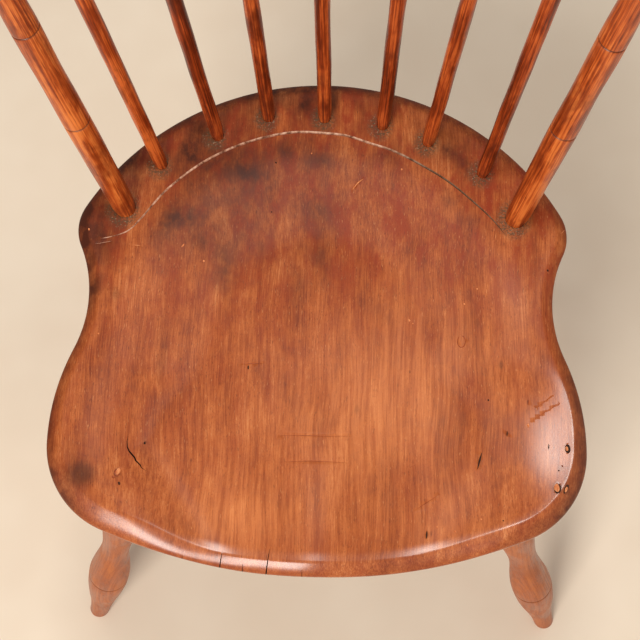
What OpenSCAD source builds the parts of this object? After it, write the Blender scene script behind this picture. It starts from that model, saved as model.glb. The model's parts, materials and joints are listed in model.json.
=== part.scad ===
// Fan back Windsor side chair: a saddled plank seat that carries every other
// piece. Legs are socketed into its underside and braced by an H of stretchers.
// Spindles and two heavier stiles stand in its deck and carry a bent crest rail.
// Front is -Y, up is +Z, and the feet stand on z = 0.

/* [Seat] */
// Width of the seat across its front lobes
seat_w = 429; // [419:1:440]
// Depth of the seat from front to back
seat_d = 414; // [405:1:430]
// Height of the flat spindle deck above the floor
seat_h = 440; // [420:1:460]
// Thickness of the plank at the deck
seat_t = 40; // [38:1:46]
// Distance that each waist stands in from the widest part of the seat
waist_in = 25.5; // [21.5:0.5:29.5]
// Distance of the waist behind the middle of the seat
waist_y = 15; // [12:1:28]
// Radius of the hollow at each waist
waist_r = 108; // [100:1:130]
// Radius of the front edge in plan
front_r = 445; // [400:5:600]
// Radius of each front corner in plan
corner_r = 74; // [65:1:85]
// Radius of each shoulder in plan
shoulder_r = 38; // [35:1:42]
// Radius of the back edge in plan
back_r = 227; // [224:1:236]
// Depth of the saddle below the deck
saddle_depth = 9; // [6:0.5:11]
// Depth of the lower arris of the rim below the deck
arris_drop = 22; // [20:1:24]
// Width of the chamfer round the underside
chamfer_w = 30; // [24:1:33]
// Width of the incised groove in front of the spindles
groove_w = 3; // [2:0.5:4]
// Depth of the incised groove
groove_depth = 1.2; // [0.6:0.2:2]

/* [Legs] */
// Distance of the front leg sockets in from the sides of the seat
front_socket_in = 66.5; // [60:0.5:74]
// Distance of the front leg sockets back from the front of the seat
front_socket_back = 83; // [76:1:92]
// Distance that each front foot stands out past its socket
front_splay = 85; // [70:1:95]
// Distance that each front foot stands forward of its socket
front_rake = 72; // [50:1:80]
// Distance of the rear leg sockets in from the waist of the seat
rear_socket_in = 63; // [56:1:70]
// Distance of the rear leg sockets in from the back of the seat
rear_socket_back = 103; // [96:1:112]
// Distance that each rear foot stands out past its socket
rear_splay = 74; // [60:1:85]
// Distance that each rear foot stands behind its socket
rear_rake = 94; // [80:1:105]
// Largest diameter of a leg, at its lower ring
leg_swell_d = 39; // [36:1:42]
// Diameter of a leg at the neck between its rings
leg_neck_d = 26; // [25:1:30]
// Diameter of a leg at the floor
foot_d = 20; // [18:1:24]
// Diameter of the leg tenons
leg_tenon_d = 24; // [22:1:25]
// Length of the leg tenons
leg_tenon_l = 26; // [22:1:28]
// Height of the side stretchers above the floor
stretcher_z = 175; // [160:1:190]
// Largest diameter of a stretcher
stretcher_d = 27; // [25:1:30]
// Diameter of a stretcher at its scribed rings
stretcher_ring_d = 21; // [19:1:23]
// Diameter of the side stretchers' tenons
stretcher_tenon_d = 14; // [12:1:16]
// Diameter of the medial stretcher's tenons
medial_tenon_d = 13; // [11:1:14]

/* [Back] */
// Height of the crest rail's lower edge above the deck
back_h = 425; // [400:1:450]
// Lean of the middle spindle, in degrees
back_rake = 10; // [8:0.5:15]
// Distance of the spindles in from the back edge of the seat
deck_inset = 32; // [28:1:36]
// Angle between neighbouring spindles on the deck, in degrees
spindle_angle = 14.1; // [13:0.1:14.2]
// Angle of each stile from the middle of the deck, in degrees
stile_angle = 57; // [55:0.5:58.5]
// Diameter of a spindle where it meets the seat and the crest
spindle_d = 9.5; // [9:0.25:10]
// Diameter of a spindle just above the deck, where its foot has swelled out of the socket
spindle_low_d = 11.8; // [11:0.2:12.4]
// Diameter of a spindle at its swell
spindle_swell_d = 12.6; // [11.6:0.2:14]
// Length of the spindle tenons in the seat
spindle_tenon_l = 24; // [20:1:26]
// Diameter of a stile at its scribed rings
stile_d = 21.5; // [20:0.5:24]
// Diameter of a stile below the crest rail
stile_top_d = 15; // [13:0.5:17]
// Diameter of the stile tenons that pass through the seat
stile_tenon_d = 17; // [15:0.5:18]
// Diameter of the stile tenons in the crest rail
stile_top_tenon_d = 10; // [9:0.5:11]
// Distance between neighbouring spindles at the crest rail
crest_pitch = 66; // [60:1:68]
// Distance of each stile from the middle at the crest rail
stile_top_x = 242; // [236:1:248]
// Overall width of the crest rail, measured across its face before bending
crest_w = 624; // [604:1:640]
// Height of the crest rail at its middle
crest_h = 62; // [56:1:70]
// Thickness of the crest rail
crest_t = 18; // [17:0.5:20]
// Radius that the crest rail is bent to
crest_r = 420; // [400:5:520]
// Lean of the crest rail's face, in degrees
crest_lean = 16; // [14:0.5:18]

/* [Joints] */
// Length of the spindle tenons in the crest rail
crest_tenon_l = 24; // [20:1:28]
// Length of the stile tenons in the crest rail
stile_top_tenon_l = 30; // [26:1:32]
// Diameter of the pins through the stile tenons
peg_d = 4; // [3:0.5:5]
// Thickness of the stile wedges at the underside of the seat
wedge_thick = 3; // [2:0.5:4]
// Length of the stile wedges
wedge_l = 18; // [14:1:24]
// Gap on each side of a tenon in its socket
fit = 0.1; // [0.05:0.05:0.2]

/* [Hidden] */
$fn = 48;
groove_facets = 96;
bend_facets = 240;
peg_facets = 24;
left = -1;
right = 1;
front = -1;
rear = 1;

// Seat outline: six tangent arcs a side, given by their centres
front_c = [0, front_r - seat_d / 2];
corner_x = seat_w / 2 - corner_r;
corner_c = [corner_x, front_c.y - sqrt(pow(front_r - corner_r, 2) - pow(corner_x, 2))];
waist_w = seat_w - 2 * waist_in;
waist_c = [waist_w / 2 + waist_r, waist_y];
waist_run = waist_c - [seat_w / 2, corner_c.y];
side_r = (waist_run * waist_run - pow(waist_r, 2)) / (2 * (waist_r - waist_run.x));
side_c = [seat_w / 2 - side_r, corner_c.y];
back_c = [0, seat_d / 2 - back_r];
shoulder_c = circles_meet(back_c, back_r - shoulder_r, waist_c, waist_r + shoulder_r);
arc_steps = 12;

// Seat section: rings that run in from the edge, as insets and as shares of the last inset
edge_insets = [0, 0.6, 2, 5, 9, 13, 18, 24];
arris_inset = 1.5;
field_inset = 30;
field_shares = [1, 0.93, 0.85, 0.76, 0.66, 0.55, 0.43, 0.3, 0.15];

// Rolled rim: width and drop behind, at the front corners and along the middle of the front,
// and the stretches over which it changes
roll_back = [9, 5.5];
roll_corner = [18, 10];
roll_middle = [10.5, 7];
roll_from = 60;
roll_run = 120;
roll_middle_x = 70;
roll_middle_run = 70;
roll_slope_share = 0.5;

// Saddle: run of its slopes, the part of the front edge that it opens to, and the pommel
saddle_run = 95;
open_x = 175;
open_x_run = 140;
open_from = 40;
open_run = 80;
side_blend = 80;
crisp_run = 60;
pommel_share = 0.75;
pommel_w = 42;
pommel_run = 150;
pommel_y = -30;

// Spindle deck: spindles and stiles stand on an arc that shares the back edge's centre
deck_r = back_r - deck_inset;
side_count = 3;
// The sockets were marked out by eye: each spindle and stile stands a little off the even
// spacing and off the arc, and the spindle tops are as uneven along the crest rail
hand_angles = [0.4, 1.5, 0.5, 0, 0.3, -1.8, -0.6];
hand_backs = [7.3, 3.5, 5.8, 0.3, 1, 0.7, 3.8];
hand_tops = [-2, -3, -1, -2.5, 2.5, 1, -9.5];
stile_hand = [[0.3, 5.5, 0], [-3.9, 3, 0]];
tenon_share = 1.4;
tenon_reach = tenon_share * seat_t;
groove_inset = 15.5;
groove_r = deck_r - groove_inset;
groove_past = 1;
groove_end = stile_angle + groove_past;
groove_curl_r = 24;
groove_curl_angle = 60;
// Height that the groove's cutter stands above the deck
skim = 0.01;

// Legs
seat_under = seat_h - seat_t;
front_socket = [seat_w / 2 - front_socket_in, front_socket_back - seat_d / 2];
rear_socket = [waist_w / 2 - rear_socket_in, seat_d / 2 - rear_socket_back];
front_foot = front_socket + [front_splay, -front_rake];
rear_foot = rear_socket + [rear_splay, rear_rake];
leg_nodes = [0.32, 0.54, 0.75];
leg_upper_share = 0.92;
socket_gap = 1;
entry_l = 6;
foot_over = 14;

// Stretchers
stretcher_past = 6;
medial_past = 3;
stretcher_rings = [0.34, 0.66];
body_gap = 1.5;
leg_reach = leg_swell_d / 2 + body_gap;
medial_reach = stretcher_d / 2 + body_gap;

// Back
spindle_swell_at = 0.45;
spindle_foot_run = 14;
stile_ring_shares = [0.31, 0.565, 0.8];
stile_foot_run = 10;
stile_waist = 1;
stile_neck_l = 1;
crest_steps = 24;
ear_r = 19;
ear_rise = 12;
crest_dip = 14;
crest_half = crest_r * sin(crest_w / 2 / crest_r * 180 / PI);
crest_body = crest_half - 2 * ear_r;
ear_c = [crest_half - ear_r, crest_h - crest_dip - ear_r + ear_rise / 2];
ear_turns = [100 : -20 : -80];
ear_clear = 4;
ear_start = stile_top_x + stile_top_d / 2 + ear_clear;
peg_over = 2;

// Wedge in the foot of each stile
wedge_tip = 0.8;
wedge_over = 8;

// Scribed rings on the turned pieces
ring_w = 1.6;
ring_depth = 0.8;
turn_step = 9;
seam_turn = 67;

// The crest rail leans on this line, behind the middle spindle's foot
crest_y = back_c.y + deck_r + back_h * tan(back_rake);
crest_z = seat_h + back_h;
crest_back = crest_y + crest_h * sin(crest_lean) + crest_t / 2 * cos(crest_lean);

// Origin under the middle of the whole chair
frame_y = -(crest_back - seat_d / 2) / 2;

// Colours as the finish shows them
seat_colour = "sienna";
turned_colour = "peru";
pin_colour = "tan";

function mix(a, b, t) = a + (b - a) * t;
function clamp01(t) = max(0, min(1, t));
function smooth(t) = pow(clamp01(t), 2) * (3 - 2 * clamp01(t));
function polar(c, r, a) = c + r * [cos(a), sin(a)];
function heading(v) = atan2(v.y, v.x);
function place(p, z) = [p.x, p.y, z];
function mirrored(p) = [-p.x, p.y];

// Point where two circles meet, on the left of the way from the first to the second
function circles_meet(c1, r1, c2, r2) =
    let (
        gap = norm(c2 - c1),
        u = (c2 - c1) / gap,
        along = (r1 * r1 - r2 * r2 + gap * gap) / (2 * gap),
        across = sqrt(r1 * r1 - along * along)
    )
    c1 + along * u + across * [-u.y, u.x];

function arc(c, r, from, to) =
    [for (i = [0 : arc_steps - 1]) polar(c, r, mix(from, to, i / arc_steps))];

// Right half of the seat outline, drawn in by an inset, from the front to the back
function half_outline(inset) =
    let (
        corner_a = heading(corner_c - front_c),
        side_a = heading(waist_c - side_c),
        waist_a = heading(shoulder_c - waist_c),
        shoulder_a = heading(shoulder_c - back_c)
    )
    concat(
        arc(front_c, front_r - inset, -90, corner_a),
        arc(corner_c, corner_r - inset, corner_a, 0),
        arc(side_c, side_r - inset, 0, side_a),
        arc(waist_c, waist_r + inset, side_a + 180, waist_a),
        arc(shoulder_c, shoulder_r - inset, waist_a - 180, shoulder_a),
        arc(back_c, back_r - inset, shoulder_a, 90)
    );

function outline(inset) =
    let (half = half_outline(inset), n = len(half))
    concat(
        half,
        [[0, seat_d / 2 - inset]],
        [for (i = [n - 1 : -1 : 1]) mirrored(half[i])]
    );

// Width and drop of the rolled rim, greatest at the front corners
function roll_size(p) =
    let (roll_front = mix(roll_middle, roll_corner, smooth((abs(p.x) - roll_middle_x) / roll_middle_run)))
    mix(roll_back, roll_front, smooth((-p.y - roll_from) / roll_run));

// Depth of the saddle below the deck: a bowl between the groove and the ridges of the
// rolled rim, open to the front, with a low pommel between the thighs
function saddle(p, inset) =
    let (
        reach = p.y > back_c.y ? norm(p - back_c) : abs(p.x),
        open = smooth((open_x - abs(p.x)) / open_x_run) * smooth((-p.y - open_from) / open_run),
        side_edge = inset - roll_size(p).x + open * saddle_run,
        from_edge = mix(side_edge, groove_r - reach, smooth((p.y - back_c.y) / side_blend + 0.5)),
        share = clamp01(from_edge / saddle_run),
        bowl = mix(smooth(share), 1 - pow(1 - share, 2), smooth((back_c.y - p.y) / crisp_run)),
        pommel = pommel_share * exp(-pow(p.x / pommel_w, 2)) * smooth((pommel_y - p.y) / pommel_run)
    )
    saddle_depth * bowl * (1 - pommel);

// Drop of the rolled rim at an inset, steeper from the ridge outwards
function roll(p, inset) =
    let (
        size = roll_size(p),
        left_over = clamp01(1 - inset / size.x)
    )
    size.y * mix(1 - sqrt(1 - left_over * left_over), left_over, roll_slope_share);

function top_z(p, inset) = seat_h - saddle(p, inset) - roll(p, inset);

function top_ring(inset) = [for (p = outline(inset)) place(p, top_z(p, inset))];
function field_ring(share) =
    [for (p = outline(field_inset))
        place(p * share, top_z(p * share, field_inset + (1 - share) * norm(p)))];
function flat_ring(inset, z) = [for (p = outline(inset)) place(p, z)];

// Closed skin through a stack of rings, with a point at each end
function skin_points(rings, first, last) =
    concat([first], [for (ring = rings) each ring], [last]);
function skin_faces(ring_count, n) =
    concat(
        [for (j = [0 : n - 1]) [0, 1 + j, 1 + (j + 1) % n]],
        [for (i = [0 : ring_count - 2]) for (j = [0 : n - 1])
            let (a = 1 + i * n + j, b = 1 + i * n + (j + 1) % n)
            each [[a, a + n, b + n], [a, b + n, b]]],
        [for (j = [0 : n - 1])
            let (a = 1 + (ring_count - 1) * n)
            [1 + ring_count * n, a + (j + 1) % n, a + j]]
    );

// Stations of the pieces that lean: a point near the deck arc and a point in the crest rail
function deck_point(a, behind) = place(polar(back_c, deck_r + behind, 90 - a), seat_h);
function crest_point(x, up) =
    let (back = sqrt(crest_r * crest_r - x * x) - crest_r)
    [
        x,
        crest_y + back * cos(crest_lean) + up * sin(crest_lean),
        crest_z - back * sin(crest_lean) + up * cos(crest_lean)
    ];
function spindle_foot(i) =
    deck_point(i * spindle_angle + hand_angles[i + side_count], hand_backs[i + side_count]);
function spindle_aim(i) =
    crest_point(i * crest_pitch + hand_tops[i + side_count], crest_tenon_l / 2);
function stile_foot(side) = deck_point(side * stile_angle, 0) + stile_hand[(side + 1) / 2];
function stile_aim(side) = crest_point(side * stile_top_x, stile_top_tenon_l / 2);

function foot_point(side, end) = let (p = end == front ? front_foot : rear_foot) [side * p.x, p.y, 0];
function socket_point(side, end) =
    let (p = end == front ? front_socket : rear_socket) [side * p.x, p.y, seat_under];
function leg_point(side, end, z) = mix(foot_point(side, end), socket_point(side, end), z / seat_under);
function stretcher_end(side, end) = leg_point(side, end, stretcher_z);
function stretcher_middle(side) = mix(stretcher_end(side, front), stretcher_end(side, rear), 0.5);

// Profile of a turning through [radius, height] stations, with soft swells between them
function turned_run(a, b) =
    let (n = max(1, ceil(abs(b.y - a.y) / turn_step)))
    [for (k = [0 : n - 1]) [mix(a.x, b.x, (1 - cos(180 * k / n)) / 2), mix(a.y, b.y, k / n)]];
function turned_profile(stations) =
    let (n = len(stations))
    concat(
        [[0, stations[0].y]],
        [for (i = [0 : n - 2]) each turned_run(stations[i], stations[i + 1])],
        [stations[n - 1], [0, stations[n - 1].y]]
    );
function scribed(r, z) =
    [[r, z - ring_w / 2], [r - ring_depth, z], [r, z + ring_w / 2]];

module turning(stations) {
    rotate([0, 0, seam_turn])
        rotate_extrude()
            polygon(turned_profile(stations));
}

// Puts the children's upright axis on the line from one point to another
module on_line(from, to) {
    run = to - from;
    translate(from)
        rotate([0, acos(run.z / norm(run)), heading(run)])
            children();
}

module placed() {
    translate([0, frame_y, 0]) children();
}

// A round socket on the line from one point to another, sunk past the second
module socket(from, to, d, past) {
    on_line(from, to)
        rotate([0, 0, seam_turn])
            cylinder(h = norm(to - from) + past, d = d + 2 * fit);
}

module groove_cutter() {
    polygon([[-groove_w / 2, skim], [0, -groove_depth], [groove_w / 2, skim]]);
}

// The incised line: an arc in front of the spindles that curls out to each shoulder
module groove() {
    translate(place(back_c, seat_h))
        rotate([0, 0, 90 - groove_end])
            rotate_extrude(angle = 2 * groove_end, $fn = groove_facets)
                translate([groove_r, 0])
                    groove_cutter();
    for (side = [left, right])
        mirror([side == left ? 1 : 0, 0, 0])
            groove_curl_end();
}

module groove_curl_end() {
    curl_c = polar(back_c, groove_r + groove_curl_r, 90 - groove_end);
    curl_from = 270 - groove_end;
    translate(place(curl_c, seat_h))
        rotate([0, 0, curl_from])
            rotate_extrude(angle = groove_curl_angle, $fn = groove_facets)
                translate([groove_curl_r, 0])
                    groove_cutter();
}

module seat_blank() {
    rings = concat(
        [flat_ring(chamfer_w, seat_under), flat_ring(arris_inset, seat_h - arris_drop)],
        [for (inset = edge_insets) top_ring(inset)],
        [for (share = field_shares) field_ring(share)]
    );
    points = skin_points(rings, [0, 0, seat_under], [0, 0, top_z([0, 0], seat_w / 2)]);
    polyhedron(points, skin_faces(len(rings), len(rings[0])));
}

module seat() {
    color(seat_colour) placed() difference() {
        seat_blank();
        groove();
        for (i = [-side_count : side_count])
            socket(spindle_aim(i), spindle_foot(i), spindle_d, spindle_tenon_l + socket_gap);
        for (side = [left, right]) {
            socket(stile_aim(side), stile_foot(side), stile_tenon_d, tenon_reach);
            for (end = [front, rear])
                socket(
                    foot_point(side, end), socket_point(side, end),
                    leg_tenon_d, leg_tenon_l + socket_gap
                );
        }
    }
}

// Bamboo turned leg with two scribed nodes, cut flat at the floor
module leg(side, end) {
    foot = foot_point(side, end);
    top = socket_point(side, end);
    len_leg = norm(top - foot);
    swell_r = leg_swell_d / 2;
    upper_r = swell_r * leg_upper_share;
    stations = concat(
        [[foot_d / 2, -foot_over], [foot_d / 2, 0]],
        scribed(swell_r, leg_nodes[0] * len_leg),
        [[leg_neck_d / 2, leg_nodes[1] * len_leg]],
        scribed(upper_r, leg_nodes[2] * len_leg),
        [[leg_tenon_d / 2, len_leg - entry_l], [leg_tenon_d / 2, len_leg + leg_tenon_l]]
    );
    color(turned_colour) placed() difference() {
        on_line(foot, top) turning(stations);
        translate([foot.x, foot.y, -foot_over])
            cube([2 * foot_over, 2 * foot_over, 2 * foot_over], center = true);
        socket(
            stretcher_end(side, -end), stretcher_end(side, end),
            stretcher_tenon_d, stretcher_past + socket_gap
        );
    }
}

// Stations of a stretcher between two points: tenon, swell with two rings, tenon
function stretcher_stations(len_run, tenon_d, reach, past) =
    concat(
        [[tenon_d / 2, -past], [tenon_d / 2, reach]],
        scribed(stretcher_ring_d / 2, stretcher_rings[0] * len_run),
        [[stretcher_d / 2, len_run / 2]],
        scribed(stretcher_ring_d / 2, stretcher_rings[1] * len_run),
        [[tenon_d / 2, len_run - reach], [tenon_d / 2, len_run + past]]
    );

module side_stretcher(side) {
    from = stretcher_end(side, front);
    to = stretcher_end(side, rear);
    color(turned_colour) placed() difference() {
        on_line(from, to)
            turning(stretcher_stations(norm(to - from), stretcher_tenon_d, leg_reach, stretcher_past));
        socket(stretcher_middle(-side), stretcher_middle(side), medial_tenon_d, medial_past + socket_gap);
    }
}

module medial_stretcher() {
    from = stretcher_middle(left);
    to = stretcher_middle(right);
    color(turned_colour) placed()
        on_line(from, to)
            turning(stretcher_stations(norm(to - from), medial_tenon_d, medial_reach, medial_past));
}

// Shaved spindle: thin at both ends, fullest a little below half its height
module spindle(i) {
    foot = spindle_foot(i);
    aim = spindle_aim(i);
    len_run = norm(aim - foot);
    stations = [
        [spindle_d / 2, -spindle_tenon_l],
        [spindle_d / 2, 0],
        [spindle_low_d / 2, spindle_foot_run],
        [spindle_swell_d / 2, spindle_swell_at * len_run],
        [spindle_d / 2, len_run - crest_tenon_l / 2 - entry_l],
        [spindle_d / 2, len_run + crest_tenon_l / 2]
    ];
    color(turned_colour) placed()
        on_line(foot, aim)
            turning(stations);
}

// Thin wedge across the grain of the seat, grown by a gap for the kerf that it fills
module wedge_shape(side, grow) {
    foot = stile_foot(side);
    aim = stile_aim(side);
    half_base = wedge_thick / 2 + grow;
    half_tip = wedge_tip / 2 + grow;
    on_line(foot, aim)
        rotate([0, 0, 90 - heading(aim - foot)])
            translate([-stile_tenon_d, 0, -seat_t])
                rotate([90, 0, 90])
                    linear_extrude(2 * stile_tenon_d)
                        polygon([
                            [-half_base, -wedge_over], [half_base, -wedge_over],
                            [half_tip, wedge_l + grow], [-half_tip, wedge_l + grow]
                        ]);
}

module above_seat_under() {
    translate([-seat_w, -seat_d, seat_under])
        cube([2 * seat_w, 2 * seat_d, seat_h + back_h]);
}

// Heavier turned post: wedged through the seat, tenoned and pegged into the crest rail
module stile(side) {
    foot = stile_foot(side);
    aim = stile_aim(side);
    len_run = norm(aim - foot);
    shoulder = len_run - stile_top_tenon_l / 2;
    ring_r = stile_d / 2;
    stations = concat(
        [[stile_tenon_d / 2, -tenon_reach], [stile_tenon_d / 2, 0]],
        [[ring_r - stile_waist, stile_foot_run]],
        [for (share = stile_ring_shares) each scribed(ring_r, share * back_h)],
        [[stile_top_d / 2, shoulder - entry_l], [stile_top_tenon_d / 2, shoulder - stile_neck_l]],
        [[stile_top_tenon_d / 2, len_run + stile_top_tenon_l / 2]]
    );
    color(turned_colour) placed() difference() {
        intersection() {
            on_line(foot, aim) turning(stations);
            above_seat_under();
        }
        wedge_shape(side, fit);
        peg_line(side, peg_d + 2 * fit, peg_over);
    }
}

module stile_wedge(side) {
    foot = stile_foot(side);
    aim = stile_aim(side);
    color(pin_colour) placed()
        intersection() {
            wedge_shape(side, 0);
            on_line(foot, aim)
                translate([0, 0, -tenon_reach])
                    cylinder(h = tenon_reach, d = stile_tenon_d);
            above_seat_under();
        }
}

// Puts the children in the crest rail's own frame: x along it, y through it, z up its face
module in_crest() {
    translate([0, crest_y, crest_z])
        rotate([-crest_lean, 0, 0])
            children();
}

// A round pin through the rail and the stile's tenon, longer by a run at each end
module peg_line(side, d, over) {
    turn = asin(stile_top_x / crest_r);
    in_crest()
        translate([0, -crest_r, stile_top_tenon_l / 2])
            rotate([0, 0, -side * turn])
                rotate([-90, 0, 0])
                    translate([0, 0, crest_r - crest_t / 2 - over])
                        cylinder(h = crest_t + 2 * over, d = d, $fn = peg_facets);
}

// Upper edge falls away from the middle and lifts again to the rounded ears
function crest_top(x) = crest_h - crest_dip * (1 - cos(180 * clamp01(abs(x) / crest_body))) / 2;
function crest_outline() =
    let (
        upper = [for (i = [0 : crest_steps]) let (x = crest_body * i / crest_steps) [x, crest_top(x)]],
        ear = [for (a = ear_turns) polar(ear_c, ear_r, a)],
        half = concat(upper, ear, [[ear_start, 0]])
    )
    concat(half, [for (i = [len(half) - 1 : -1 : 1]) mirrored(half[i])]);

module crest_rail() {
    color(turned_colour) placed() difference() {
        in_crest()
            intersection() {
                translate([0, -crest_r, -crest_h])
                    rotate_extrude($fn = bend_facets)
                        translate([crest_r - crest_t / 2, 0])
                            square([crest_t, 3 * crest_h]);
                translate([0, crest_t, 0])
                    rotate([90, 0, 0])
                        linear_extrude(crest_r / 2)
                            polygon(crest_outline());
            }
        for (i = [-side_count : side_count])
            socket(spindle_foot(i), spindle_aim(i), spindle_d, crest_tenon_l / 2 + socket_gap);
        for (side = [left, right]) {
            socket(
                stile_foot(side), stile_aim(side),
                stile_top_tenon_d, stile_top_tenon_l / 2 + socket_gap
            );
            peg_line(side, peg_d + 2 * fit, peg_over);
        }
    }
}

module crest_peg(side) {
    color(pin_colour) placed() peg_line(side, peg_d, 0);
}

seat();
leg(left, front);  // leg_front_left
leg(right, front);  // leg_front_right
leg(left, rear);  // leg_rear_left
leg(right, rear);  // leg_rear_right
side_stretcher(left);  // side_stretcher_left
side_stretcher(right);  // side_stretcher_right
medial_stretcher();
stile(left);  // stile_left
stile(right);  // stile_right
spindle(-3);  // spindle_1
spindle(-2);  // spindle_2
spindle(-1);  // spindle_3
spindle(0);  // spindle_4
spindle(1);  // spindle_5
spindle(2);  // spindle_6
spindle(3);  // spindle_7
crest_rail();
crest_peg(left);  // crest_peg_left
crest_peg(right);  // crest_peg_right
stile_wedge(left);  // stile_wedge_left
stile_wedge(right);  // stile_wedge_right
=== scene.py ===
import json
from math import asin, atan2, ceil, copysign, cos, exp, hypot, pi, radians, sin, sqrt, tan, tau

import bmesh
import bpy
from bmesh import ops
from mathutils import Matrix, Vector, noise
from mathutils.kdtree import KDTree


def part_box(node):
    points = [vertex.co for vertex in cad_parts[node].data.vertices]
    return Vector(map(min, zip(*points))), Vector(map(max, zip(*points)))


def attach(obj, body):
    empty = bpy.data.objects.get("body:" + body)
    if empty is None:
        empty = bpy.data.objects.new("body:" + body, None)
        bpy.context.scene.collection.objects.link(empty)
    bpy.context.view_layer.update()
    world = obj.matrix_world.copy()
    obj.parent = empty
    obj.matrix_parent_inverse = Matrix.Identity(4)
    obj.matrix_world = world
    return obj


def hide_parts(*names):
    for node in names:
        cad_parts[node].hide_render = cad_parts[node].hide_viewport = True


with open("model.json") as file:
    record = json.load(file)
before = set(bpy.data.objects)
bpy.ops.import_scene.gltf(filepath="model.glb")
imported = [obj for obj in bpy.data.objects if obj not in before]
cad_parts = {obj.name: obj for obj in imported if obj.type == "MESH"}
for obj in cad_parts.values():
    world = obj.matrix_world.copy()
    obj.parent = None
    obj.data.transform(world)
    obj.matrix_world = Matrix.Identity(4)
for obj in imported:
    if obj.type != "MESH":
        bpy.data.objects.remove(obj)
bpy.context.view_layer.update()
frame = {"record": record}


# Seat plank: one thick board of close-grained wood, sawn to a shield outline and hollowed
# with an adze and scrapers until only a deck for the spindles is left flat. The rim is
# rolled over on top and chamfered away below, and a groove is scribed in front of the deck.
seat_low, seat_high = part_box("seat")
seat_w = seat_high.x - seat_low.x
seat_d = seat_high.y - seat_low.y
deck_z = seat_high.z
under_z = seat_low.z
seat_mid = Vector((0, (seat_low.y + seat_high.y) / 2, 0))
waist_w = 0.378
waist_y = 0.015
waist_r = 0.108
front_r = 0.445
corner_r = 0.074
shoulder_r = 0.038
back_r = 0.227
rim_step = 0.003
finest_turn = radians(3)

saddle_depth = 0.009
saddle_run = 0.095
open_x = 0.175
open_x_run = 0.140
open_from = 0.040
open_run = 0.080
side_blend = 0.080
crisp_run = 0.060
pommel_share = 0.75
pommel_w = 0.042
pommel_run = 0.150
pommel_y = -0.030
roll_back = Vector((0.009, 0.0055))
roll_left_corner = Vector((0.018, 0.010))
roll_right_corner = Vector((0.0142, 0.0095))
roll_middle = Vector((0.0105, 0.007))
roll_from = 0.060
roll_run = 0.120
roll_middle_x = 0.070
roll_middle_run = 0.070
roll_slope_share = 0.5
scraper_wave = 0.0005
arris_drop = 0.022
arris_in = 0.0015
chamfer_in = 0.030
chamfer_bulge = 0.0012
# The rings of the top, closest over the roll, in millimetres in from the rim, and then in even
# steps across the bowl
roll_insets = (0, 0.1, 0.3, 0.7, 1.2, 1.9, 2.8, 3.8, 5, 6.2, 7.4, 8.4, 9.4, 10.6, 12, 13.5, 15, 16.5, 18,
               20, 22.5, 26, 30)
bowl_in = 0.030
bowl_step = 0.025

deck_r = back_r - 0.032
groove_r = deck_r - 0.0155
groove_w = 0.0021
groove_depth = 0.0012


def smooth(share):
    share = max(0.0, min(1.0, share))
    return share * share * (3 - 2 * share)


def heading(run):
    return atan2(run.y, run.x)


def polar(centre, reach, turn):
    return centre + reach * Vector((cos(turn), sin(turn)))


front_c = Vector((0, front_r - seat_d / 2))
corner_x = seat_w / 2 - corner_r
corner_c = Vector((corner_x, front_c.y - sqrt((front_r - corner_r) ** 2 - corner_x ** 2)))
waist_c = Vector((waist_w / 2 + waist_r, waist_y))
waist_run = waist_c - Vector((seat_w / 2, corner_c.y))
side_r = (waist_run.length_squared - waist_r ** 2) / (2 * (waist_r - waist_run.x))
side_c = Vector((seat_w / 2 - side_r, corner_c.y))
back_c = Vector((0, seat_d / 2 - back_r))


def circles_meet(first_c, first_r, second_c, second_r):
    """The point, left of the way from one centre to the other, where two circles meet."""
    gap = (second_c - first_c).length
    way = (second_c - first_c) / gap
    along = (first_r ** 2 - second_r ** 2 + gap ** 2) / (2 * gap)
    across = sqrt(first_r ** 2 - along ** 2)
    return first_c + along * way + across * Vector((-way.y, way.x))


shoulder_c = circles_meet(back_c, back_r - shoulder_r, waist_c, waist_r + shoulder_r)
corner_a = heading(corner_c - front_c)
side_a = heading(waist_c - side_c)
waist_a = heading(shoulder_c - waist_c)
shoulder_a = heading(shoulder_c - back_c)
rim_arcs = [
    (front_c, front_r, -1, -pi / 2, corner_a),
    (corner_c, corner_r, -1, corner_a, 0),
    (side_c, side_r, -1, 0, side_a),
    (waist_c, waist_r, 1, side_a + pi, waist_a),
    (shoulder_c, shoulder_r, -1, waist_a - pi, shoulder_a),
    (back_c, back_r, -1, shoulder_a, pi / 2),
]


def rim_line(inset):
    """The seat's outline drawn in by an inset, once round from the middle of the front."""
    half = []
    for centre, reach, way, start, end in rim_arcs:
        steps = ceil(abs(end - start) / min(rim_step / reach, finest_turn))
        half += [polar(centre, reach + way * inset, start + (end - start) * k / steps)
                 for k in range(steps)]
    back = [Vector((0, seat_d / 2 - inset))]
    return half + back + [Vector((-p.x, p.y)) for p in reversed(half[1:])]


def roll_size(p):
    """Width and drop of the rolled rim, greatest at the front corners."""
    roll_corner = roll_left_corner if p.x < 0 else roll_right_corner
    roll_front = roll_middle.lerp(roll_corner, smooth((abs(p.x) - roll_middle_x) / roll_middle_run))
    return roll_back.lerp(roll_front, smooth((-p.y - roll_from) / roll_run))


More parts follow.
